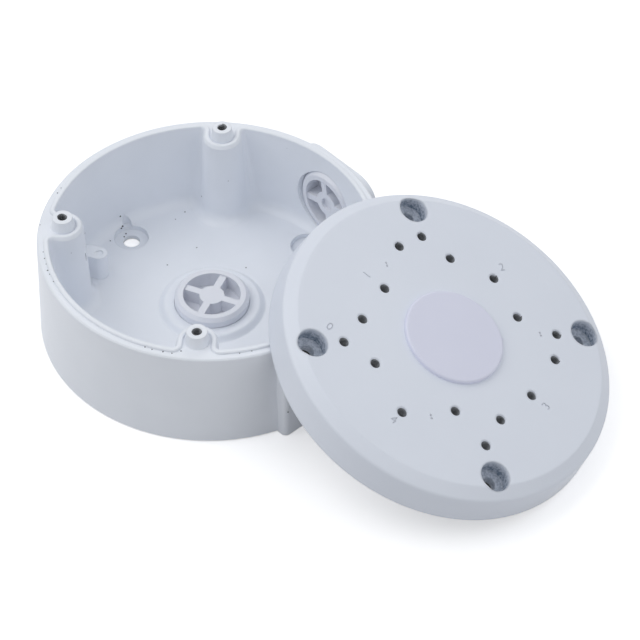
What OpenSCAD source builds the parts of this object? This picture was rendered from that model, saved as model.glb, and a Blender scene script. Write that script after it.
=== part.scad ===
// Round die-cast junction box that carries a camera on a wall, with its
// mounting plate taken off and leaning on the box's rim.
// The origin is the centre of the box's back face, on the wall, and +Z runs
// out of the open box. The four plate screws stand on the X and Y axes.

/* [Box] */
// Outer radius of the box at its rim
rim_r = 58.5; // [57.5:0.25:60]
// How much further out the wall stands at its foot
wall_draft = 1.5; // [0.5:0.25:2.5]
// Height of the box up to the flat of its rim
box_h = 38; // [36:0.5:42]
// Thickness of the wall at the rim
wall_t = 4; // [3.75:0.05:4.5]
// Thickness of the floor
floor_t = 3.5; // [3.25:0.25:4]
// Radius of the fillet between the floor and the wall
floor_fillet = 4.5; // [3:0.25:5]
// How much narrower the hollow is at the floor than at the rim
core_draft = 0.8; // [0.2:0.2:1.6]
// Bevel round the outer edges of the foot and the rim
edge_bevel = 0.5; // [0.2:0.1:0.8]

/* [Seal ridge] */
// Width of the raised ridge along the inner edge of the rim
ridge_w = 1.7; // [1.4:0.1:2]
// Height of the ridge above the flat of the rim
ridge_h = 0.8; // [0.6:0.1:1]
// Bevel on both edges of the ridge
ridge_bevel = 0.3; // [0.1:0.05:0.35]
// Radius of the bend where the ridge turns in round a post
ridge_bend = 3.2; // [2.8:0.1:3.8]

/* [Posts] */
// Distance of the plate screws from the rim's outer edge
screw_inset = 8.5; // [8.2:0.1:9]
// Radius of the spigot on a post, at its root
spigot_r = 4.1; // [3.9:0.05:4.3]
// How much narrower the spigot is at its top
spigot_draft = 0.7; // [0.3:0.1:1]
// Height of the spigot above the flat of the rim
spigot_h = 4.3; // [3.5:0.1:4.8]
// Gap between the root of the spigot and the ridge that runs round it
spigot_gap = 0.5; // [0.4:0.05:0.7]
// Radius of the tapped hole for a plate screw, before its thread
screw_tap_r = 1.65; // [1.4:0.05:2]
// Depth of the tapped hole
screw_tap_depth = 14; // [10:1:18]
// How much wider a post gets on each side from the rim to the floor
post_draft = 1; // [0.5:0.25:2.5]
// Width of the step that a post makes just under the ridge
post_shoulder = 0.5; // [0.2:0.1:0.8]

/* [Wall fixing] */
// Distance of the wall-fixing holes from the rim's outer edge
fixing_inset = 13.25; // [12.75:0.25:14.25]
// Radius of a wall-fixing hole
fixing_r = 3; // [2.25:0.25:3.25]
// Radius of the spot face round a wall-fixing hole
fixing_face_r = 6.2; // [5.5:0.1:7]
// Depth of the spot face below the floor
fixing_face_depth = 1.9; // [0.6:0.1:2.2]
// Width of the niche beside one fixing hole, in the fillet of the wall
niche_w = 3.2; // [2.4:0.2:4]
// Height of the niche above the floor
niche_h = 5.5; // [2:0.5:7]
// Distance of the niche's axis from the wall at the floor
niche_inset = 1.7; // [1.4:0.1:2.4]
// Direction of the niche, in degrees
niche_angle = 131.5; // [129:0.5:133]

/* [Earth boss] */
// Direction of the earth screw's boss, in degrees
earth_angle = 162.6; // [161:0.2:164]
// Distance of the earth screw from the rim's outer edge
earth_inset = 15.7; // [15.1:0.1:17]
// Height of the boss above the floor
earth_h = 10.2; // [7:0.1:14]
// Half the width of the boss
earth_r = 3; // [2.4:0.1:3.2]
// Length of the boss beyond the screw, towards the wall
earth_length = 3.6; // [2:0.2:4.4]
// Radius of the centre mark for the earth screw's hole
earth_mark_r = 1.4; // [1.1:0.1:1.7]
// Depth of the centre mark
earth_mark_depth = 0.5; // [0.2:0.1:1]

/* [Conduit entries] */
// How far the side entries lie below the middle of the box's height
entry_low = 0.5; // [0:0.1:1]
// Radius of an entry's bore, for a three-quarter inch pipe thread
entry_r = 13.22; // [12.9:0.02:13.4]
// How far the flat pad of a side entry stands out from the rim
pad_out = 1.8; // [1.5:0.1:2.6]
// Half the width of a pad
pad_half_w = 19.4; // [18:0.2:21]
// Gap between the top of a pad and the flat of the rim
pad_drop = 2.2; // [0.5:0.1:3]
// Radius of a pad's upright edges
pad_edge_r = 2; // [1:0.25:3]
// Radius of a pad's two upper corners
pad_corner_r = 10; // [5:0.5:12]
// Depth of the spot face for a side plug's seal in the pad's face
pad_sink = 0.6; // [0.3:0.1:0.8]
// Height of the ring that stands on the floor round the floor entry
boss_h = 1.8; // [1.2:0.1:2.4]
// Radius of that ring at its foot
boss_r = 19.1; // [18:0.1:19.4]
// Width of the soft slope round the ring
boss_slope = 2.8; // [2:0.1:3.4]
// Depth of the sunk face for the floor plug's flange, in the back of the box
sunk_depth = 2.5; // [2.5:0.05:2.8]
// Width of the relief cut round a side entry, inside the box
entry_relief = 0.25; // [0.15:0.05:1]

/* [Plugs] */
// Gap all round between a plug's thread and its bore
plug_clearance = 0.1; // [0.05:0.01:0.2]
// Length of a plug from its seal's face to its inner end
plug_length = 6.5; // [6:0.1:7.5]
// Radius of the opening in a plug's inner end
plug_open_r = 10.05; // [9.5:0.05:10.6]
// Bevel at the start of a plug's thread
plug_bevel = 1.2; // [0.6:0.1:1.6]
// Radius of the hub in a plug
hub_r = 4.4; // [3.6:0.1:5.2]
// Radius of the hub in a side plug
side_hub_r = 4.9; // [4:0.1:5.4]
// Radius of the dimple in a side plug's hub
dimple_r = 2.4; // [1.6:0.1:3]
// Width of a plug's spokes
spoke_w = 2.6; // [1.8:0.1:3.4]
// How far the hub and the spokes lie below a plug's inner end
hub_drop = 0.6; // [0.2:0.1:1.2]
// Thickness of a plug's closed end
plug_floor_t = 3; // [2.5:0.1:3.6]
// Radius of a plug's flange
flange_r = 15; // [14.6:0.1:15.2]
// Thickness of a plug's flange
flange_t = 1.6; // [1.2:0.1:1.6]
// Width of the driver slot across a plug's flange
slot_w = 2.4; // [1.6:0.2:3]
// Depth of the driver slot
slot_depth = 1; // [0.5:0.1:1.4]
// Thickness of a plug's seal
seal_t = 0.8; // [0.5:0.05:0.8]

/* [Mounting plate] */
// Thickness of the plate from its lower edge to its top face
plate_h = 13.3; // [12.5:0.1:15]
// How far the plate's lower edge stands out from the box's rim
plate_out = 0.5; // [0.3:0.1:0.8]
// How much narrower the plate's side is at the bevel than at its lower edge
plate_draft = 1.1; // [0.6:0.1:1.4]
// Height of the bevel round the top face
bevel_h = 2.1; // [1.4:0.1:2.6]
// Width of the bevel round the top face
bevel_w = 4.3; // [3:0.1:5]
// Radius of the soft corner between the bevel and the side
corner_r = 1.2; // [0.6:0.1:1.8]
// Thickness of the plate's top
plate_top_t = 4.5; // [4:0.1:5]
// Bevel under the plate's lower edge
lip_bevel = 0.3; // [0.1:0.05:0.5]
// Height of the ledge that the gasket lies on, above the lower edge
ledge_h = 3; // [2.4:0.1:3.2]
// Gap between the box's ridge and the lip round it when the plate is on
lip_gap = 0.3; // [0.2:0.05:0.35]
// Radius of the sunk hole for a plate screw's head
head_r = 5; // [4.4:0.1:5.4]
// Depth of the sunk hole
head_depth = 5.8; // [5:0.1:6.2]
// Radius of the screw hole below the head
screw_r = 2.3; // [2.1:0.05:2.6]
// Gap between a spigot's top and the plate when the plate is on
spigot_top_gap = 0.3; // [0.2:0.05:0.6]

/* [Camera holes] */
// Radius of a tapped camera hole, before its thread
camera_tap_r = 1.65; // [1.4:0.05:2]
// Countersink at the mouth of a camera hole
camera_sink = 0.3; // [0.1:0.05:0.5]
// Radius of the boss round a camera hole, under the plate
camera_boss_r = 3.4; // [2.8:0.1:3.8]
// Height of that boss
camera_boss_h = 3; // [2:0.25:3.25]
// Distance of the circle of four camera holes from that of the plate screws
four_hole_inset = 10.8; // [9.8:0.1:12]
// Distance of the outer circle of three camera holes from that of the plate screws
outer_hole_inset = 13.3; // [12.6:0.1:14]
// Distance of the three pairs of camera holes from the circle of the plate screws
pair_hole_inset = 18.5; // [17.6:0.1:19.4]
// Distance of the inner circle of three camera holes from that of the plate screws
inner_hole_inset = 22.6; // [21.8:0.1:23.6]

/* [Centre cap] */
// Distance of the cable hole's edge from the inner circle of camera holes
cable_inset = 13.2; // [12.4:0.1:14.4]
// How far the cap's head laps over the edge of the cable hole
cap_lap = 3; // [2.2:0.1:3.6]
// Thickness of the cap's head
cap_h = 1.5; // [1:0.1:2]
// Gap between the cap's collar and the cable hole
cap_clearance = 0.15; // [0.1:0.05:0.3]
// Thickness of the cap's collar
collar_t = 1.4; // [1:0.1:2]
// How far the cap's snap bead stands out under the plate
bead_out = 0.5; // [0.3:0.1:0.7]
// Radius of the moulding point on the cap's edge
point_r = 0.7; // [0.4:0.05:0.9]

/* [Gasket] */
// Width of the gasket
gasket_w = 1.6; // [1.3:0.05:1.8]
// How far the gasket stays above the plate's lower edge
gasket_lift = 0.6; // [0.6:0.05:1]
// Gap between the gasket and the lip beside it
gasket_gap = 0.05; // [0.05:0.01:0.15]

/* [Leaning plate] */
// How far the plate's upper edge reaches in over the box's rim
lean_overlap = 26.4; // [24:0.2:28]
// Direction in which the plate leans away from the box, in degrees
lean_angle = -25.8; // [-28:0.2:-24]
// Turn of the plate about its own axis, in degrees
lean_turn = 45; // [43:0.5:47]
// Gap between the plate's lip and the box's ridge where they meet
lean_gap = 0.08; // [0.04:0.01:0.2]

/* [Hidden] */
$fn = 96;
// A cut reaches this far past the face that it opens
over = 1;
// The moulded hollow reaches this far below the floor, which a disc fills again
floor_skim = 0.1;
metal = [0.80, 0.83, 0.88];
plastic = [0.80, 0.80, 0.84];
cap_plastic = [0.80, 0.80, 0.87];
rubber = [0.30, 0.31, 0.33];
side_angles = [45, -45];
floor_spoke_angle = 71;
side_spoke_angle = 12;
screw_circle_r = rim_r - screw_inset;
earth_dist = rim_r - earth_inset;
entry_z = box_h / 2 - entry_low;
cable_hole_r = screw_circle_r - inner_hole_inset - cable_inset;
cap_r = cable_hole_r + cap_lap;
corner_sweep = atan2(bevel_w, bevel_h);
foot_r = rim_r + wall_draft;
seal_r = rim_r - wall_t + ridge_w;
seal_q = spigot_r + spigot_gap;
hollow_r = seal_r - ridge_w;
hollow_q = seal_q + ridge_w;
hollow_bend = ridge_bend - ridge_w;
floor_r = hollow_r - core_draft;
wall_q = hollow_q + post_shoulder;
floor_q = wall_q + post_draft;
floor_bend = floor_fillet + 1;
ridge_top = box_h + ridge_h;
fixing_dist = rim_r - fixing_inset;
pad_face = rim_r + pad_out;
pad_h = box_h - pad_drop;
side_seat = pad_face - pad_sink;
boss_top = floor_t + boss_h;
plug_r = entry_r - plug_clearance;
sunk_r = flange_r + 0.4;
plate_r = rim_r + plate_out;
plate_side_r = plate_r - plate_draft;
lip_r = seal_r + lip_gap;
pocket_r = lip_r - gasket_w - gasket_gap;
pocket_q = seal_q - lip_gap + gasket_w + gasket_gap;
pocket_bend = ridge_bend + lip_gap - gasket_w - gasket_gap;
pocket_top = plate_h - plate_top_t;
recess_r = seal_q - lip_gap;
recess_top = spigot_h + spigot_top_gap;
cap_collar_r = cable_hole_r - cap_clearance;

// Points along an arc, at the fractions i / n of its sweep
function arc(c, r, a0, a1, n, first, last) = [
    for (i = [first:last])
        let (a = a0 + (a1 - a0) * i / n)
            [c[0] + r * cos(a), c[1] + r * sin(a)]
];
function turned(p, a) = [p[0] * cos(a) - p[1] * sin(a), p[0] * sin(a) + p[1] * cos(a)];
// Centre of the bend between a wall of radius r and a post of half width q:
// it touches the post's straight flank, or its round nose where the bend is wide
function bend_centre(r, q, bend) =
    let (far = r - bend, near = q + bend)
    let (x = sqrt(far * far - near * near))
    x >= screw_circle_r ? [x, near]
        : let (nx = (far * far + screw_circle_r * screw_circle_r - near * near) / (2 * screw_circle_r))
            [nx, sqrt(far * far - nx * nx)];
// A quarter of the closed outline that follows the wall and passes inside a post
function quarter(r, q, bend) =
    let (c = bend_centre(r, q, bend))
    let (wall_a = atan2(c[1], c[0]))
    let (nose_a = c[0] >= screw_circle_r ? 90 : atan2(c[1], c[0] - screw_circle_r))
    [
        each arc([0, 0], r, -45, -wall_a, 7, 0, 6),
        each arc([c[0], -c[1]], bend, -wall_a, 180 - nose_a, 4, 0, 4),
        each arc([screw_circle_r, 0], q, 356 - nose_a, nose_a + 4, 12, 0, 12),
        each arc(c, bend, nose_a - 180, wall_a, 4, 0, 4),
        each arc([0, 0], r, wall_a, 45, 7, 1, 6)
    ];
function outline(r, q, bend) = [
    for (k = [0:3]) for (p = quarter(r, q, bend)) turned(p, 90 * k)
];
// Each ring is a height with the wall radius, post half width and bend there
function mix(a, b, t) = a + (b - a) * t;
wall_rings = [
    for (t = [0:0.25:1]) [
        mix(box_h - post_shoulder, floor_t - floor_skim + floor_fillet, t),
        mix(hollow_r, floor_r, t),
        mix(wall_q, floor_q, t),
        mix(hollow_bend, floor_bend, t)
    ]
];
fillet_rings = [
    for (a = [18:18:90])
        let (inset = floor_fillet * (1 - cos(a)))
            [
                floor_t - floor_skim + floor_fillet * (1 - sin(a)),
                floor_r - inset,
                floor_q + inset,
                floor_bend - inset
            ]
];
// Both bevels of the ridge run on past its top, where a flat face cuts them
hollow_rings = [
    [ridge_top + ridge_bevel, hollow_r + 2 * ridge_bevel, hollow_q - 2 * ridge_bevel, hollow_bend + 2 * ridge_bevel],
    [ridge_top - ridge_bevel, hollow_r, hollow_q, hollow_bend],
    each wall_rings,
    each fillet_rings
];
ridge_rings = [
    [ridge_top + ridge_bevel, seal_r - 2 * ridge_bevel, seal_q + 2 * ridge_bevel, ridge_bend - 2 * ridge_bevel],
    [ridge_top - ridge_bevel, seal_r, seal_q, ridge_bend],
    [box_h - over, seal_r, seal_q, ridge_bend]
];

// With its edge on the ground and its lip on the ridge, the plate's tilt sets
// its distance from the box's axis. The tilt sought is the one at which its
// upper edge reaches in over the rim as far as it should.
edge_reach = plate_r - lip_bevel;
function meet_along(tilt) = (ridge_top + lean_gap) / sin(tilt) - edge_reach;
function meet_side_2(tilt) = max(0, lip_r * lip_r - meet_along(tilt) * meet_along(tilt));
function dist_at(tilt) =
    sqrt(max(0, seal_r * seal_r - meet_side_2(tilt))) + meet_along(tilt) * cos(tilt);
function too_far(tilt) = dist_at(tilt) - edge_reach * cos(tilt) > rim_r - lean_overlap;
function tilt_between(low, high, tries) =
    let (middle = (low + high) / 2)
    tries == 0 ? middle
        : too_far(middle) ? tilt_between(middle, high, tries - 1)
        : tilt_between(low, middle, tries - 1);
lean_tilt = tilt_between(5, 60, 40);
lean_z = edge_reach * sin(lean_tilt);
lean_dist = dist_at(lean_tilt);

// Solid through a stack of outlines, the highest ring first
module skin(rings) {
    loops = [for (g = rings) outline(g[1], g[2], g[3])];
    n = len(loops[0]);
    last = len(rings) - 1;
    polyhedron(
        points = [for (i = [0:last]) for (p = loops[i]) [p[0], p[1], rings[i][0]]],
        faces = [
            [for (j = [0:n - 1]) n - 1 - j],
            [for (j = [0:n - 1]) last * n + j],
            for (i = [0:last - 1]) for (j = [0:n - 1])
                each [
                    [i * n + j, i * n + (j + 1) % n, (i + 1) * n + j],
                    [i * n + (j + 1) % n, (i + 1) * n + (j + 1) % n, (i + 1) * n + j]
                ]
        ]
    );
}

module shell() {
    rotate_extrude()
        polygon([
            [0, 0],
            [foot_r - edge_bevel, 0],
            [foot_r, edge_bevel],
            [rim_r, box_h - edge_bevel],
            [rim_r - edge_bevel, box_h],
            [0, box_h]
        ]);
}

// Flat pad for a side entry, with soft upright edges and round upper corners
module pad() {
    intersection() {
        linear_extrude(pad_h)
            polygon([
                [screw_circle_r / 2, -pad_half_w],
                each arc([pad_face - pad_edge_r, pad_edge_r - pad_half_w], pad_edge_r, -90, 0, 5, 0, 5),
                each arc([pad_face - pad_edge_r, pad_half_w - pad_edge_r], pad_edge_r, 0, 90, 5, 0, 5),
                [screw_circle_r / 2, pad_half_w]
            ]);
        rotate([90, 0, 90])
            linear_extrude(pad_face + over)
                polygon([
                    [-pad_half_w - over, -over],
                    [pad_half_w + over, -over],
                    [pad_half_w + over, 0],
                    each arc([pad_half_w - pad_corner_r, pad_h - pad_corner_r], pad_corner_r, 0, 90, 8, 0, 8),
                    each arc([pad_corner_r - pad_half_w, pad_h - pad_corner_r], pad_corner_r, 90, 180, 8, 0, 8),
                    [-pad_half_w - over, 0]
                ]);
    }
}

module spigot() {
    lean_in = spigot_draft / spigot_h;
    translate([screw_circle_r, 0, box_h - over])
        cylinder(r1 = spigot_r + over * lean_in, r2 = spigot_r - spigot_draft, h = spigot_h + over);
}

// Ring round the floor entry, its side rising in a soft step
module floor_ring() {
    steps = 8;
    rotate_extrude()
        polygon([
            [0, floor_t - over],
            [boss_r + over, floor_t - over],
            for (i = [0:steps])
                [boss_r - boss_slope * i / steps,
                    floor_t - 0.05 + (boss_h + 0.05) * (1 - cos(180 * i / steps)) / 2],
            [0, boss_top]
        ]);
}

module earth_boss() {
    rotate(earth_angle) {
        translate([earth_dist, 0, floor_t - over])
            cylinder(r = earth_r, h = earth_h + over);
        translate([earth_dist + earth_length, 0, floor_t - over])
            cylinder(r = earth_r, h = earth_h + over);
        translate([earth_dist, -earth_r, floor_t - over])
            cube([earth_length, 2 * earth_r, earth_h + over]);
    }
}

module fixing_hole() {
    translate([fixing_dist, 0, -over])
        cylinder(r = fixing_r, h = floor_t + 2 * over);
    translate([fixing_dist, 0, floor_t - fixing_face_depth])
        cylinder(r = fixing_face_r, h = floor_fillet + fixing_face_depth);
}

// Niche in the fillet of the wall, with a slot from a fixing hole's spot face
module fixing_niche() {
    start = turned([fixing_dist, 0], 135);
    end = turned([floor_r - niche_inset, 0], niche_angle);
    way = end - start;
    translate([start[0], start[1], floor_t - fixing_face_depth / 2])
        rotate(atan2(way[1], way[0])) {
            translate([0, -niche_w / 2, 0])
                cube([norm(way), niche_w, floor_fillet]);
            translate([norm(way), 0, 0])
                cylinder(d = niche_w, h = niche_h + fixing_face_depth / 2);
        }
}

module side_entry() {
    translate([0, 0, entry_z])
        rotate([0, 90, 0]) {
            translate([0, 0, screw_circle_r / 2])
                cylinder(r = entry_r, h = pad_face - screw_circle_r / 2 + over);
            translate([0, 0, screw_circle_r / 2])
                cylinder(r = entry_r + entry_relief, h = side_seat - plug_length - screw_circle_r / 2);
            translate([0, 0, side_seat])
                cylinder(r = sunk_r, h = pad_sink + over);
        }
}

module box() {
    color(metal)
    difference() {
        union() {
            difference() {
                union() {
                    shell();
                    intersection() {
                        skin(ridge_rings);
                        cylinder(r = rim_r, h = ridge_top);
                    }
                    for (a = side_angles)
                        rotate(a) pad();
                }
                skin(hollow_rings);
            }
            translate([0, 0, floor_t - over])
                cylinder(r = floor_r, h = over);
            floor_ring();
            for (a = [0:90:270])
                rotate(a) spigot();
            earth_boss();
        }
        for (a = [0:90:270]) {
            rotate(a)
                translate([screw_circle_r, 0, box_h + spigot_h - screw_tap_depth])
                    cylinder(r = screw_tap_r, h = screw_tap_depth + over);
            rotate(a + 45) fixing_hole();
        }
        fixing_niche();
        for (a = side_angles)
            rotate(a) side_entry();
        translate([0, 0, -over])
            cylinder(r = entry_r, h = boss_top + 2 * over);
        translate([0, 0, -over])
            cylinder(r = sunk_r, h = sunk_depth + over);
        rotate(earth_angle)
            translate([earth_dist, 0, floor_t + earth_h - earth_mark_depth])
                cylinder(r = earth_mark_r, h = earth_mark_depth + over);
    }
}

// Blanking plug, its thread upwards from the face that its seal lies on
module plug(spoke_angle, hub, dimple) {
    flange_bottom = -seal_t - flange_t;
    cup_floor = flange_bottom + plug_floor_t;
    color(plastic)
    difference() {
        rotate_extrude()
            polygon([
                [0, flange_bottom],
                [flange_r - flange_t / 3, flange_bottom],
                [flange_r, flange_bottom + flange_t / 3],
                [flange_r, -seal_t],
                [plug_r, -seal_t],
                [plug_r, plug_length - plug_bevel],
                [plug_r - plug_bevel, plug_length],
                [0, plug_length]
            ]);
        difference() {
            translate([0, 0, cup_floor])
                cylinder(r = plug_open_r, h = plug_length);
            cylinder(r = hub, h = plug_length - hub_drop);
            for (a = [0:90:270])
                rotate(a + spoke_angle)
                    translate([0, -spoke_w / 2, 0])
                        cube([plug_open_r + over / 2, spoke_w, plug_length - hub_drop]);
        }
        translate([0, 0, plug_length - hub_drop - dimple])
            cylinder(r = dimple_r, h = dimple + over);
        translate([-flange_r - over, -slot_w / 2, flange_bottom - over])
            cube([2 * (flange_r + over), slot_w, slot_depth + over]);
    }
}

module plug_seal() {
    color(rubber)
    translate([0, 0, -seal_t])
        difference() {
            cylinder(r = flange_r - 0.2, h = seal_t);
            translate([0, 0, -over])
                cylinder(r = plug_r + plug_clearance / 2, h = seal_t + 2 * over);
        }
}

module at_floor() {
    translate([0, 0, sunk_depth]) children();
}

module at_side(a) {
    rotate(a)
        translate([side_seat, 0, entry_z])
            rotate([0, -90, 0])
                children();
}

module leaning() {
    rotate(lean_angle)
        translate([lean_dist, 0, lean_z])
            rotate([0, lean_tilt, 0])
                rotate(lean_turn)
                    children();
}

// Outside of the plate: a drafted side, a soft corner and a wide bevel
module plate_body() {
    side_top = plate_h - bevel_h;
    rotate_extrude()
        polygon([
            [0, 0],
            [plate_r - lip_bevel, 0],
            [plate_r, lip_bevel],
            [plate_side_r, side_top - corner_r],
            each arc([plate_side_r - corner_r, side_top - corner_r], corner_r, 0, corner_sweep, 6, 1, 6),
            [plate_side_r - bevel_w, plate_h],
            [0, plate_h]
        ]);
}

// Places of the camera holes: each circle's radius and the angles on it
camera_circles = [
    [screw_circle_r - four_hole_inset, [0, 90, 180, 270]],
    [screw_circle_r - outer_hole_inset, [105, 225, 345]],
    [screw_circle_r - pair_hole_inset, [45, 75, 165, 195, 285, 315]],
    [screw_circle_r - inner_hole_inset, [15, 135, 255]]
];

module at_camera_holes() {
    for (circle_holes = camera_circles)
        for (a = circle_holes[1])
            rotate(a)
                translate([circle_holes[0], 0, 0])
                    children();
}

module camera_hole() {
    translate([0, 0, pocket_top - camera_boss_h - over])
        cylinder(r = camera_tap_r, h = plate_top_t + camera_boss_h + 2 * over);
    translate([0, 0, plate_h - camera_sink])
        cylinder(r1 = camera_tap_r, r2 = camera_tap_r + 2 * camera_sink, h = 2 * camera_sink);
}

module plate_screw_hole() {
    translate([screw_circle_r, 0, plate_h - head_depth])
        cylinder(r = head_r, h = head_depth + over);
    translate([screw_circle_r, 0, -over])
        cylinder(r = screw_r, h = plate_h);
    translate([screw_circle_r, 0, -over])
        cylinder(r = recess_r, h = recess_top + over);
}

module mounting_plate() {
    color(metal)
    leaning()
        difference() {
            union() {
                difference() {
                    plate_body();
                    translate([0, 0, -over])
                        cylinder(r = lip_r, h = ledge_h + over);
                    translate([0, 0, -over])
                        linear_extrude(pocket_top + over)
                            polygon(outline(pocket_r, pocket_q, pocket_bend));
                }
                at_camera_holes()
                    translate([0, 0, pocket_top - camera_boss_h])
                        cylinder(r = camera_boss_r, h = camera_boss_h + over);
            }
            for (a = [0:90:270])
                rotate(a) plate_screw_hole();
            at_camera_holes() camera_hole();
            cylinder(r = cable_hole_r, h = plate_h + over);
        }
}

// Rubber ring on the plate's ledge, above the ridge of the closed box
module plate_gasket() {
    color(rubber)
    leaning()
        translate([0, 0, gasket_lift])
            linear_extrude(ledge_h - gasket_lift)
                difference() {
                    polygon(outline(
                        lip_r - gasket_gap,
                        recess_r + gasket_gap,
                        ridge_bend + lip_gap - gasket_gap
                    ));
                    polygon(outline(
                        lip_r - gasket_gap - gasket_w,
                        recess_r + gasket_gap + gasket_w,
                        ridge_bend + lip_gap - gasket_gap - gasket_w
                    ));
                }
}

// Snap-in cap over the cable hole: a head, a collar and a bead under the plate
module centre_cap() {
    bead_top = -plate_top_t - 0.1;
    bead_h = 2 * bead_out;
    edge = cap_h / 2;
    color(cap_plastic)
    leaning()
        translate([0, 0, plate_h]) {
            rotate_extrude()
                polygon([
                    [0, cap_h],
                    [0, 0],
                    [cap_collar_r - collar_t, 0],
                    [cap_collar_r - collar_t, bead_top - 1.5 * bead_h],
                    [cap_collar_r, bead_top - 1.5 * bead_h],
                    [cap_collar_r + bead_out + cap_clearance, bead_top - bead_h / 2],
                    [cap_collar_r, bead_top],
                    [cap_collar_r, 0],
                    [cap_r, 0],
                    each arc([cap_r - edge, cap_h - edge], edge, 0, 90, 5, 0, 5)
                ]);
            rotate(-5)
                translate([cap_r - 0.1, 0, 0])
                    cylinder(r = point_r, h = cap_h / 2);
        }
}

module floor_plug() { at_floor() plug(floor_spoke_angle, hub_r, 0); }
module floor_plug_seal() { at_floor() plug_seal(); }
module rear_plug() { at_side(45) plug(side_spoke_angle, side_hub_r, dimple_r / 2); }
module rear_plug_seal() { at_side(45) plug_seal(); }
module front_plug() { at_side(-45) plug(side_spoke_angle, side_hub_r, dimple_r / 2); }
module front_plug_seal() { at_side(-45) plug_seal(); }

box();
floor_plug();
floor_plug_seal();
rear_plug();
rear_plug_seal();
front_plug();
front_plug_seal();
mounting_plate();
plate_gasket();
centre_cap();
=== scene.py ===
import math

import bpy
from mathutils import Matrix, Vector


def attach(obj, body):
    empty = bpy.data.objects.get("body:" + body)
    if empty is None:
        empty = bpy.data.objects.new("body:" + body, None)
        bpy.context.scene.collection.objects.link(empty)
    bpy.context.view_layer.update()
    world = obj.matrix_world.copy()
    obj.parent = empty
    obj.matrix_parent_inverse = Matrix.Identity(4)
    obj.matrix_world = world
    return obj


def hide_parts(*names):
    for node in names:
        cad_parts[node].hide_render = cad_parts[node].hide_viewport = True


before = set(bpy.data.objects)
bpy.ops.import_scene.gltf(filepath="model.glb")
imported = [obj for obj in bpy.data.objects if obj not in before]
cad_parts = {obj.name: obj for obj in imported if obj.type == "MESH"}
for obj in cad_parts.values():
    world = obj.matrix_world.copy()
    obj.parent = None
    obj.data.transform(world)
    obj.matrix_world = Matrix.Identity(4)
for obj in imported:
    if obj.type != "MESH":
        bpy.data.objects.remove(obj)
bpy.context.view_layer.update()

# Cast box
# Die-cast aluminium under a pale blue-grey powder coat, with a fine orange
# peel, faint cloudy tones and a few tiny pits. The coat rounds every edge.
cast_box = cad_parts["box"]


def noise(material, scale, detail):
    """Add soft random clouds in the object's own space."""
    nodes, links = material.node_tree.nodes, material.node_tree.links
    cloud = nodes.new("ShaderNodeTexNoise")
    cloud.inputs["Scale"].default_value = scale
    cloud.inputs["Detail"].default_value = detail
    links.new(nodes["place"].outputs["Object"], cloud.inputs["Vector"])
    return cloud.outputs["Fac"]


def clouded(name, dark, light, scale, roughness, detail=2, spread=(0, 1)):
    """Make a material whose colour drifts between two tones."""
    material = bpy.data.materials.new(name)
    material.use_nodes = True
    nodes, links = material.node_tree.nodes, material.node_tree.links
    place = nodes.new("ShaderNodeTexCoord")
    place.name = "place"
    tone = nodes.new("ShaderNodeValToRGB")
    tone.name = "tone"
    stops = tone.color_ramp.elements
    stops[0].position, stops[1].position = spread
    stops[0].color = (*dark, 1)
    stops[1].color = (*light, 1)
    links.new(noise(material, scale, detail), tone.inputs["Fac"])
    shader = nodes["Principled BSDF"]
    shader.inputs["Roughness"].default_value = roughness
    links.new(tone.outputs["Color"], shader.inputs["Base Color"])
    return material


# Painted light: this copy of the coat is lighter than the plate's same coat, to brighten the inside of the
# box.
box_coat_painted_light = clouded("box_coat_painted_light", dark=(0.835, 0.868, 0.930), light=(0.868, 0.900, 0.962),
                   scale=45, detail=4, spread=(0.3, 0.7), roughness=0.42)


def remap(tree, value, start, end, low, high):
    """Turn one range of a value into another, held at both ends."""
    ranged = tree.nodes.new("ShaderNodeMapRange")
    ranged.inputs["From Min"].default_value = start
    ranged.inputs["From Max"].default_value = end
    ranged.inputs["To Min"].default_value = low
    ranged.inputs["To Max"].default_value = high
    tree.links.new(value, ranged.inputs["Value"])
    return ranged.outputs["Result"]


def cover(material, amount, colour):
    """Lay a colour over the clouded tone, by an amount from 0 to 1."""
    nodes, links = material.node_tree.nodes, material.node_tree.links
    mix = nodes.new("ShaderNodeMix")
    mix.data_type = "RGBA"
    mix.inputs["B"].default_value = (*colour, 1)
    links.new(amount, mix.inputs["Factor"])
    links.new(nodes["tone"].outputs["Color"], mix.inputs["A"])
    links.new(mix.outputs["Result"], nodes["Principled BSDF"].inputs["Base Color"])


# The pits are the middles of random cells about 9 mm wide.
tree = box_coat_painted_light.node_tree
pits = tree.nodes.new("ShaderNodeTexVoronoi")
pits.inputs["Scale"].default_value = 110
tree.links.new(tree.nodes["place"].outputs["Object"], pits.inputs["Vector"])
pit = remap(tree, pits.outputs["Distance"], start=0.024, end=0.042, low=0.75, high=0)
cover(box_coat_painted_light, pit, colour=(0.05, 0.055, 0.07))


def soften(material, radius, samples):
    """Round the edges in the shading, as a coat or a mould does."""
    nodes, links = material.node_tree.nodes, material.node_tree.links
    soft = nodes.new("ShaderNodeBevel")
    soft.name = "soft"
    soft.samples = samples
    soft.inputs["Radius"].default_value = radius
    links.new(soft.outputs["Normal"], nodes["Principled BSDF"].inputs["Normal"])


def grain(material, scale, strength, detail=2):
    """Raise a fine relief on a softened surface."""
    nodes, links = material.node_tree.nodes, material.node_tree.links
    bump = nodes.new("ShaderNodeBump")
    bump.inputs["Strength"].default_value = strength
    bump.inputs["Distance"].default_value = 0.0001
    links.new(noise(material, scale, detail), bump.inputs["Height"])
    links.new(nodes["soft"].outputs["Normal"], bump.inputs["Normal"])
    links.new(bump.outputs["Normal"], nodes["Principled BSDF"].inputs["Normal"])


soften(box_coat_painted_light, radius=0.00045, samples=6)
grain(box_coat_painted_light, scale=1400, detail=3, strength=0.25)


def finish(piece, material):
    """Give a piece one material in place of any other."""
    piece.data.materials.clear()
    piece.data.materials.append(material)


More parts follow.
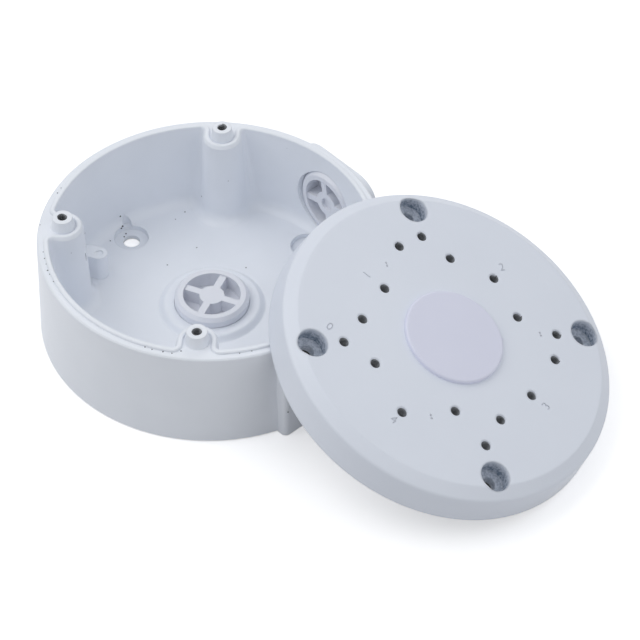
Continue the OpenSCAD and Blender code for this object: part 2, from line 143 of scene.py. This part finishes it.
# The hollow and the seal ridge are faceted in the CAD mesh. The skin is that
# mesh with its loose triangles merged, so that the cast walls and rounds are
# shaded smooth and the real edges stay.
finish(cast_box, box_coat_painted_light)
box_skin = bpy.data.objects.new("box_skin", cast_box.data.copy())
bpy.context.scene.collection.objects.link(box_skin)
bpy.ops.object.select_all(action="DESELECT")
box_skin.select_set(True)
bpy.context.view_layer.objects.active = box_skin
bpy.ops.mesh.customdata_custom_splitnormals_clear()
bpy.ops.object.mode_set(mode="EDIT")
bpy.ops.mesh.select_all(action="SELECT")
bpy.ops.mesh.remove_doubles(threshold=0.000002)
bpy.ops.object.mode_set(mode="OBJECT")
bpy.ops.object.shade_smooth_by_angle(angle=math.radians(24))
even = box_skin.modifiers.new("even", "WEIGHTED_NORMAL")
even.keep_sharp = True
bpy.ops.object.modifier_apply(modifier="even")
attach(box_skin, "root")
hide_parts("box")

# Bare spots in the box's coat, and a painted shade slit
# Dark beads under 1 mm wide, half sunk in the casting, where the coat has
# gaps: on the ledge outside the seal ridge, by one wall-fixing hole and on
# the front pad. A thin dark slit down the nose of one post is painted shade
# of a crevice.
bare_metal_and_shade = clouded("bare_spot_and_shade", dark=(0.02, 0.022, 0.03), light=(0.09, 0.10, 0.12),
                     scale=1800, roughness=0.6)
ledge_z = 0.038
ledge_bead_h = 0.00012

# On the ledge, each bead's X, Y and half its width.
ledge_spots = (
    (-0.05411, -0.01577, 0.00022),
    (-0.05314, -0.01837, 0.00020),
    (-0.05228, -0.02139, 0.00026),
    (-0.05134, -0.02308, 0.00020),
    (-0.04960, -0.02640, 0.00022),
    (-0.05498, -0.01276, 0.00018),
    (-0.05421, 0.01655, 0.00024),
    (-0.05336, 0.01916, 0.00018),
    (-0.01642, -0.05384, 0.00024),
    (-0.01407, -0.05478, 0.00020),
    (-0.01051, -0.05550, 0.00026),
    (-0.00758, -0.05600, 0.00022),
    (-0.00478, -0.05483, 0.00026),
    (0.01396, -0.05460, 0.00020),
    (0.01775, -0.05330, 0.00024),
)

# Each bead's middle, half its width and half its height.
spots = [((x, y, ledge_z), wide, ledge_bead_h) for x, y, wide in ledge_spots]
spots += [
    ((-0.03667, 0.03901, 0.00713), 0.00030, 0.00030),
    ((-0.03575, 0.03701, 0.00408), 0.00036, 0.00030),
    ((-0.03620, 0.03655, 0.00353), 0.00034, 0.00030),
    ((-0.03450, 0.03579, 0.00160), 0.00032, 0.00020),
    ((-0.03496, 0.03412, 0.00160), 0.00030, 0.00020),
    ((-0.03941, 0.02973, 0.00350), 0.00026, 0.00014),
    ((0.02970, -0.05535, 0.01164), 0.00024, 0.00024),
    # Painted shade: a thin dark slit down the nose of one post, standing in for a shadowed crevice.
    ((-0.04300, -0.00120, 0.02455), 0.00016, 0.00270),
]


def joined(pieces, name):
    """Join pieces to one object."""
    bpy.ops.object.select_all(action="DESELECT")
    for piece in pieces:
        piece.select_set(True)
    bpy.context.view_layer.objects.active = pieces[0]
    bpy.ops.object.join()
    pieces[0].name = name
    return pieces[0]


bpy.ops.object.select_all(action="DESELECT")
beads = []
for middle, wide, tall in spots:
    bpy.ops.mesh.primitive_ico_sphere_add(subdivisions=2, radius=1, location=(0, 0, 0))
    bead = bpy.context.object
    bead.data.transform(Matrix.Translation(middle) @ Matrix.Diagonal((wide, wide, tall, 1)))
    beads.append(bead)
bare_spots_and_shade_slit = joined(beads, "bare_spots_and_shade_slit")
bpy.ops.object.shade_smooth()
finish(bare_spots_and_shade_slit, bare_metal_and_shade)
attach(bare_spots_and_shade_slit, "root")

# Blanking plugs
# Moulded plastic, a slightly warmer grey-white than the coat, with a satin
# skin. They screw into the floor entry and the two side entries.
plug_plastic = clouded("plug_plastic", dark=(0.77, 0.79, 0.86), light=(0.82, 0.84, 0.90),
                       scale=120, roughness=0.38)
soften(plug_plastic, radius=0.0003, samples=4)
for name in ("floor_plug", "rear_plug", "front_plug"):
    finish(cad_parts[name], plug_plastic)

# Seals and gasket
# Nearly black matt rubber. A ring lies under each plug's flange, and the
# gasket on the ledge round the mounting plate's underside.
rubber = clouded("rubber", dark=(0.012, 0.012, 0.013), light=(0.024, 0.024, 0.026),
                 scale=300, roughness=0.65)
for name in ("floor_plug_seal", "rear_plug_seal", "front_plug_seal", "plate_gasket"):
    finish(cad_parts[name], rubber)

# Mounting plate
# Die-cast aluminium under the same coat, leaning on the box's rim. Deep in
# its four screw holes the coat is darker and speckled: painted shade, over a thinner coat.
heading = Matrix.Rotation(math.radians(-25.8), 4, "Z")
lean = Matrix.Rotation(math.radians(22), 4, "Y")
own_turn = Matrix.Rotation(math.radians(45), 4, "Z")
plate_turn = heading @ lean @ own_turn
plate_place = Matrix.Translation((0.077894, -0.037655, 0.021989)) @ plate_turn
screw_circle_r = 0.05
counterbore_r = 0.005
shade_from = 0.0074
shade_up_to = 0.0130
plate_coat_and_hole_shade = clouded("plate_coat_and_hole_shade", dark=(0.765, 0.805, 0.892), light=(0.790, 0.830, 0.915),
                     scale=30, detail=4, spread=(0.3, 0.7), roughness=0.42)
tree = plate_coat_and_hole_shade.node_tree
nodes, links = tree.nodes, tree.links


def combine(tree, operation, first, second):
    """Work one value out of two."""
    worked = tree.nodes.new("ShaderNodeMath")
    worked.operation = operation
    tree.links.new(first, worked.inputs[0])
    tree.links.new(second, worked.inputs[1])
    return worked.outputs["Value"]


# In the plate's own coordinates, without signs and with the larger one
# first, the four screw holes fall on one axis. The mask is 1 inside them.
own = nodes.new("ShaderNodeMapping")
own.vector_type = "TEXTURE"
own.inputs["Location"].default_value = plate_place.to_translation()
own.inputs["Rotation"].default_value = plate_place.to_euler()
links.new(nodes["place"].outputs["Object"], own.inputs["Vector"])
unsigned = nodes.new("ShaderNodeVectorMath")
unsigned.operation = "ABSOLUTE"
links.new(own.outputs["Vector"], unsigned.inputs[0])
parts = nodes.new("ShaderNodeSeparateXYZ")
links.new(unsigned.outputs["Vector"], parts.inputs["Vector"])
folded = nodes.new("ShaderNodeCombineXYZ")
links.new(combine(tree, "MAXIMUM", parts.outputs["X"], parts.outputs["Y"]), folded.inputs["X"])
links.new(combine(tree, "MINIMUM", parts.outputs["X"], parts.outputs["Y"]), folded.inputs["Y"])
away = nodes.new("ShaderNodeVectorMath")
away.operation = "DISTANCE"
away.inputs[1].default_value = (screw_circle_r, 0, 0)
links.new(folded.outputs["Vector"], away.inputs[0])
near = remap(tree, away.outputs["Value"], start=counterbore_r + 0.00001, end=counterbore_r + 0.00005,
             low=1, high=0)

# Painted shade, with the thin coat's tone, is strongest just above the floor of the
# screw hole's wide part and fades to nothing below the plate's top. A speckle breaks it up.
height = remap(tree, parts.outputs["Z"], start=shade_from, end=shade_up_to, low=0, high=1)
hole_shade = nodes.new("ShaderNodeValToRGB")
stops = hole_shade.color_ramp.elements
stops[0].position = 0.03
stops[0].color = (0.55, 0.55, 0.55, 1)
stops[1].position = 1
stops[1].color = (0, 0, 0, 1)
for position, grey in ((0.10, 1), (0.55, 0.80)):
    stops.new(position).color = (grey, grey, grey, 1)
links.new(height, hole_shade.inputs["Fac"])
speckle = remap(tree, noise(plate_coat_and_hole_shade, scale=1100, detail=2), start=0.42, end=0.58, low=0.45, high=1)
inside = combine(tree, "MULTIPLY", near, hole_shade.outputs["Color"])
cover(plate_coat_and_hole_shade, combine(tree, "MULTIPLY", inside, speckle), colour=(0.17, 0.225, 0.30))
soften(plate_coat_and_hole_shade, radius=0.0011, samples=6)
grain(plate_coat_and_hole_shade, scale=1400, detail=3, strength=0.25)
finish(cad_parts["mounting_plate"], plate_coat_and_hole_shade)

# Centre cap
# Moulded plastic, close to the coat's tone but with a lilac tinge and a finer
# grain. It snaps into the cable hole in the middle of the plate.
cap_plastic = clouded("cap_plastic", dark=(0.730, 0.745, 0.880), light=(0.765, 0.780, 0.915),
                      scale=60, roughness=0.36)
soften(cap_plastic, radius=0.0003, samples=4)
grain(cap_plastic, scale=2200, strength=0.12)
finish(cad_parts["centre_cap"], cap_plastic)

# Threads in the camera holes
# Sixteen holes are tapped through the plate's bare metal. One helical ridge
# of triangular section winds down each, sunk a little into its wall.
# The thread is near black: bare cut metal, darkened further as painted shade for the deep, narrow holes.
cut_metal_and_shade = clouded("cut_metal_and_shade", dark=(0.035, 0.037, 0.041), light=(0.16, 0.17, 0.185),
                    scale=900, roughness=0.38)
cut_metal_and_shade.node_tree.nodes["Principled BSDF"].inputs["Metallic"].default_value = 0.7
thread_r = 0.00158
thread_pitch = 0.0007
thread_turns = 9
steps_a_turn = 24
thread_ridge_r = 0.00036
hole_thread_foot = 0.0062
bpy.ops.object.select_all(action="DESELECT")
bpy.ops.mesh.primitive_circle_add(vertices=3, radius=thread_ridge_r, fill_type="NGON", location=(0, 0, 0))
coil = bpy.context.object
coil.data.transform(Matrix.Rotation(math.radians(90), 4, "X") @ Matrix.Rotation(math.radians(90), 4, "Z"))
coil.data.transform(Matrix.Translation((thread_r, 0, 0.0003)))
wind = coil.modifiers.new("wind", "SCREW")
wind.axis = "Z"
wind.angle = math.radians(360)
wind.screw_offset = thread_pitch
wind.iterations = thread_turns
wind.steps = steps_a_turn
wind.render_steps = steps_a_turn
bpy.ops.object.modifier_apply(modifier="wind")
bpy.ops.object.mode_set(mode="EDIT")
bpy.ops.mesh.select_all(action="SELECT")
bpy.ops.mesh.remove_doubles(threshold=0.000002)
bpy.ops.mesh.select_all(action="DESELECT")
bpy.ops.mesh.select_non_manifold()
bpy.ops.mesh.fill()
bpy.ops.mesh.select_all(action="SELECT")
bpy.ops.mesh.normals_make_consistent(inside=False)
bpy.ops.object.mode_set(mode="OBJECT")
thread = coil.data.copy()
bpy.data.meshes.remove(coil.data)


def tapped(name, places):
    """Set a copy of the thread in each hole, all as one piece."""
    ridges = []
    for place in places:
        ridge = bpy.data.objects.new(name, thread.copy())
        bpy.context.scene.collection.objects.link(ridge)
        ridge.data.transform(place)
        ridges.append(ridge)
    threads = joined(ridges, name)
    finish(threads, cut_metal_and_shade)
    bpy.ops.object.shade_smooth_by_angle(angle=math.radians(30))
    return threads


# The holes lie on four circles round the plate's middle.
camera_holes = []
for circle_r, angles in (
    (0.0392, (0, 90, 180, 270)),
    (0.0367, (105, 225, 345)),
    (0.0315, (45, 75, 165, 195, 285, 315)),
    (0.0274, (15, 135, 255)),
):
    for angle in angles:
        foot = Matrix.Translation((circle_r, 0, hole_thread_foot))
        camera_holes.append(plate_place @ (Matrix.Rotation(math.radians(angle), 4, "Z") @ foot))
camera_hole_threads = tapped("camera_hole_threads", camera_holes)
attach(camera_hole_threads, "root")

# Threads in the posts
# The box's four posts are tapped for the plate screws in the same way, with
# the thread in the top of each.
post_thread_foot = 0.0356
posts = []
for angle in (0, 90, 180, 270):
    foot = Matrix.Translation((screw_circle_r, 0, post_thread_foot))
    posts.append(Matrix.Rotation(math.radians(angle), 4, "Z") @ foot)
post_threads = tapped("post_threads", posts)
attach(post_threads, "root")

# Cast numbers on the plate
# Four small raised numbers beside camera holes, a round mark near one screw
# hole, and pairs of dots between the circles of holes, under the same coat.
plate_top = 0.0133
number_h = 0.0042
dot_r = 0.00042
dot_step = 0.00055
bpy.ops.object.select_all(action="DESELECT")
marks = []
for word, x, y, turn in (
    ("1", -0.0245, 0.0245, 45),
    ("2", 0.0265, 0.0265, 0),
    ("3", 0.0262, -0.0265, 45),
    ("4", -0.0298, -0.0285, -45),
    ("0", -0.0430, 0.0056, -45),
):
    bpy.ops.object.text_add(location=(0, 0, 0))
    mark = bpy.context.object
    mark.data.body = word
    mark.data.size = number_h
    mark.data.align_x = "CENTER"
    mark.data.align_y = "CENTER"
    mark.data.extrude = 0.00009
    mark.data.offset = -0.00009
    mark.data.bevel_depth = 0.00005
    mark.data.bevel_resolution = 1
    bpy.ops.object.convert(target="MESH")
    mark = bpy.context.object
    spot = Matrix.Translation((x, y, plate_top)) @ Matrix.Rotation(math.radians(turn), 4, "Z")
    mark.data.transform(plate_place @ spot)
    marks.append(mark)
for x, y in ((-0.0163, 0.0285), (0.0328, 0.0003), (-0.0165, -0.0281)):
    for step in (-dot_step, dot_step):
        bpy.ops.mesh.primitive_uv_sphere_add(segments=16, ring_count=8, radius=dot_r, location=(0, 0, 0))
        dot = bpy.context.object
        spot = Matrix.Translation((x, y + step, plate_top)) @ Matrix.Diagonal((1, 1, 0.35, 1))
        dot.data.transform(plate_place @ spot)
        marks.append(dot)
plate_numbers = joined(marks, "plate_numbers")
bpy.ops.object.mode_set(mode="EDIT")
bpy.ops.mesh.select_all(action="SELECT")
bpy.ops.mesh.remove_doubles(threshold=0.000001)
bpy.ops.mesh.normals_make_consistent(inside=False)
bpy.ops.object.mode_set(mode="OBJECT")
bpy.ops.object.shade_smooth_by_angle(angle=math.radians(30))
finish(plate_numbers, plate_coat_and_hole_shade)
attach(plate_numbers, "root")

# Ground and sky
# A white ground under a white sky. Both light the object at a plain level,
# and look white to the camera, also in a reflection.
ground_white = bpy.data.materials.new("ground_white")
ground_white.use_nodes = True
tree = ground_white.node_tree
nodes, links = tree.nodes, tree.links
matt = nodes["Principled BSDF"]
matt.inputs["Base Color"].default_value = (0.62, 0.62, 0.63, 1)
matt.inputs["Roughness"].default_value = 0.9
matt.inputs["Specular IOR Level"].default_value = 0.1
paper = nodes.new("ShaderNodeBsdfDiffuse")
paper.inputs["Color"].default_value = (0.95, 0.95, 0.96, 1)
lift = nodes.new("ShaderNodeEmission")
lift.inputs["Strength"].default_value = 0.42
lifted = nodes.new("ShaderNodeAddShader")
links.new(paper.outputs["BSDF"], lifted.inputs[0])
links.new(lift.outputs["Emission"], lifted.inputs[1])


def shown_as(tree, lit, seen, output):
    """Light the object by one shader and show another, also in reflections."""
    path = tree.nodes.new("ShaderNodeLightPath")
    mirrored = combine(tree, "MAXIMUM", path.outputs["Is Glossy Ray"], path.outputs["Is Transmission Ray"])
    shown = combine(tree, "MAXIMUM", path.outputs["Is Camera Ray"], mirrored)
    pick = tree.nodes.new("ShaderNodeMixShader")
    tree.links.new(shown, pick.inputs["Fac"])
    tree.links.new(lit, pick.inputs[1])
    tree.links.new(seen, pick.inputs[2])
    tree.links.new(pick.outputs["Shader"], output.inputs["Surface"])


shown_as(tree, matt.outputs["BSDF"], lifted.outputs["Shader"], nodes["Material Output"])
bpy.ops.mesh.primitive_plane_add(size=6, location=(0, 0, -0.0002))
ground = bpy.context.object
ground.name = "ground"
ground.data.materials.append(ground_white)

world = bpy.data.worlds.new("sky")
bpy.context.scene.world = world
world.use_nodes = True
tree = world.node_tree
sky = tree.nodes["Background"]
sky.inputs["Color"].default_value = (0.96, 0.98, 1.0, 1)
sky.inputs["Strength"].default_value = 0.50
white = tree.nodes.new("ShaderNodeBackground")
white.inputs["Color"].default_value = (1, 1, 1, 1)
white.inputs["Strength"].default_value = 1
shown_as(tree, sky.outputs["Background"], white.outputs["Background"], tree.nodes["World Output"])

# Lamps
# Wide soft lamps high at the left, the right and behind. One narrow soft beam
# from the front right brightens the inside of the box.
lamp_target = (0.03, -0.02, 0.02)
beam_target = (-0.022, 0.012, 0.022)


def hang(lamp, where, towards):
    """Hang a lamp at a place, facing a point."""
    hung = bpy.data.objects.new(lamp.name, lamp)
    bpy.context.scene.collection.objects.link(hung)
    hung.location = where
    hung.rotation_mode = "QUATERNION"
    hung.rotation_quaternion = (Vector(towards) - Vector(where)).to_track_quat("-Z", "Y")


for name, where, size, power in (
    ("key", (-0.7, 0.0, 1.0), 1.0, 4.55),
    ("fill", (0.9, -0.5, 0.9), 1.1, 1.7),
    ("back", (0.2, 0.9, 1.0), 0.9, 1.6),
):
    lamp = bpy.data.lights.new(name, "AREA")
    lamp.shape = "DISK"
    lamp.size = size
    lamp.energy = power
    hang(lamp, where, lamp_target)
beam = bpy.data.lights.new("inside", "SPOT")
beam.energy = 2.3
beam.spot_size = math.radians(13)
beam.spot_blend = 1
beam.shadow_soft_size = 0.12
hang(beam, (0.16, -0.30, 0.62), beam_target)

# Camera
# The photograph's camera, solved from the circles of the box and the plate.
# Before its turns it looks level along Y.
photo_px = 640
focal_px = 1982.2
middle_px = (304.05, 313.56)
yaw = Matrix.Rotation(math.radians(2.0), 3, "Z")
pitch = Matrix.Rotation(math.radians(-45.914), 3, "X")
level = Matrix(((1, 0, 0), (0, 0, -1), (0, 1, 0)))
roll = Matrix.Rotation(math.radians(1.277), 3, "Z")
lens = bpy.data.cameras.new("camera")
lens.sensor_width = 36
lens.lens = focal_px / photo_px * lens.sensor_width
lens.shift_x = (photo_px / 2 - middle_px[0]) / photo_px
lens.shift_y = (middle_px[1] - photo_px / 2) / photo_px
lens.clip_start = 0.01
lens.clip_end = 20
camera = bpy.data.objects.new("camera", lens)
bpy.context.scene.collection.objects.link(camera)
turn = yaw @ pitch @ level @ roll
camera.matrix_world = Matrix.Translation((0.049216, -0.484045, 0.501235)) @ turn.to_4x4()
bpy.context.scene.camera = camera
bpy.context.scene.view_settings.view_transform = "Standard"
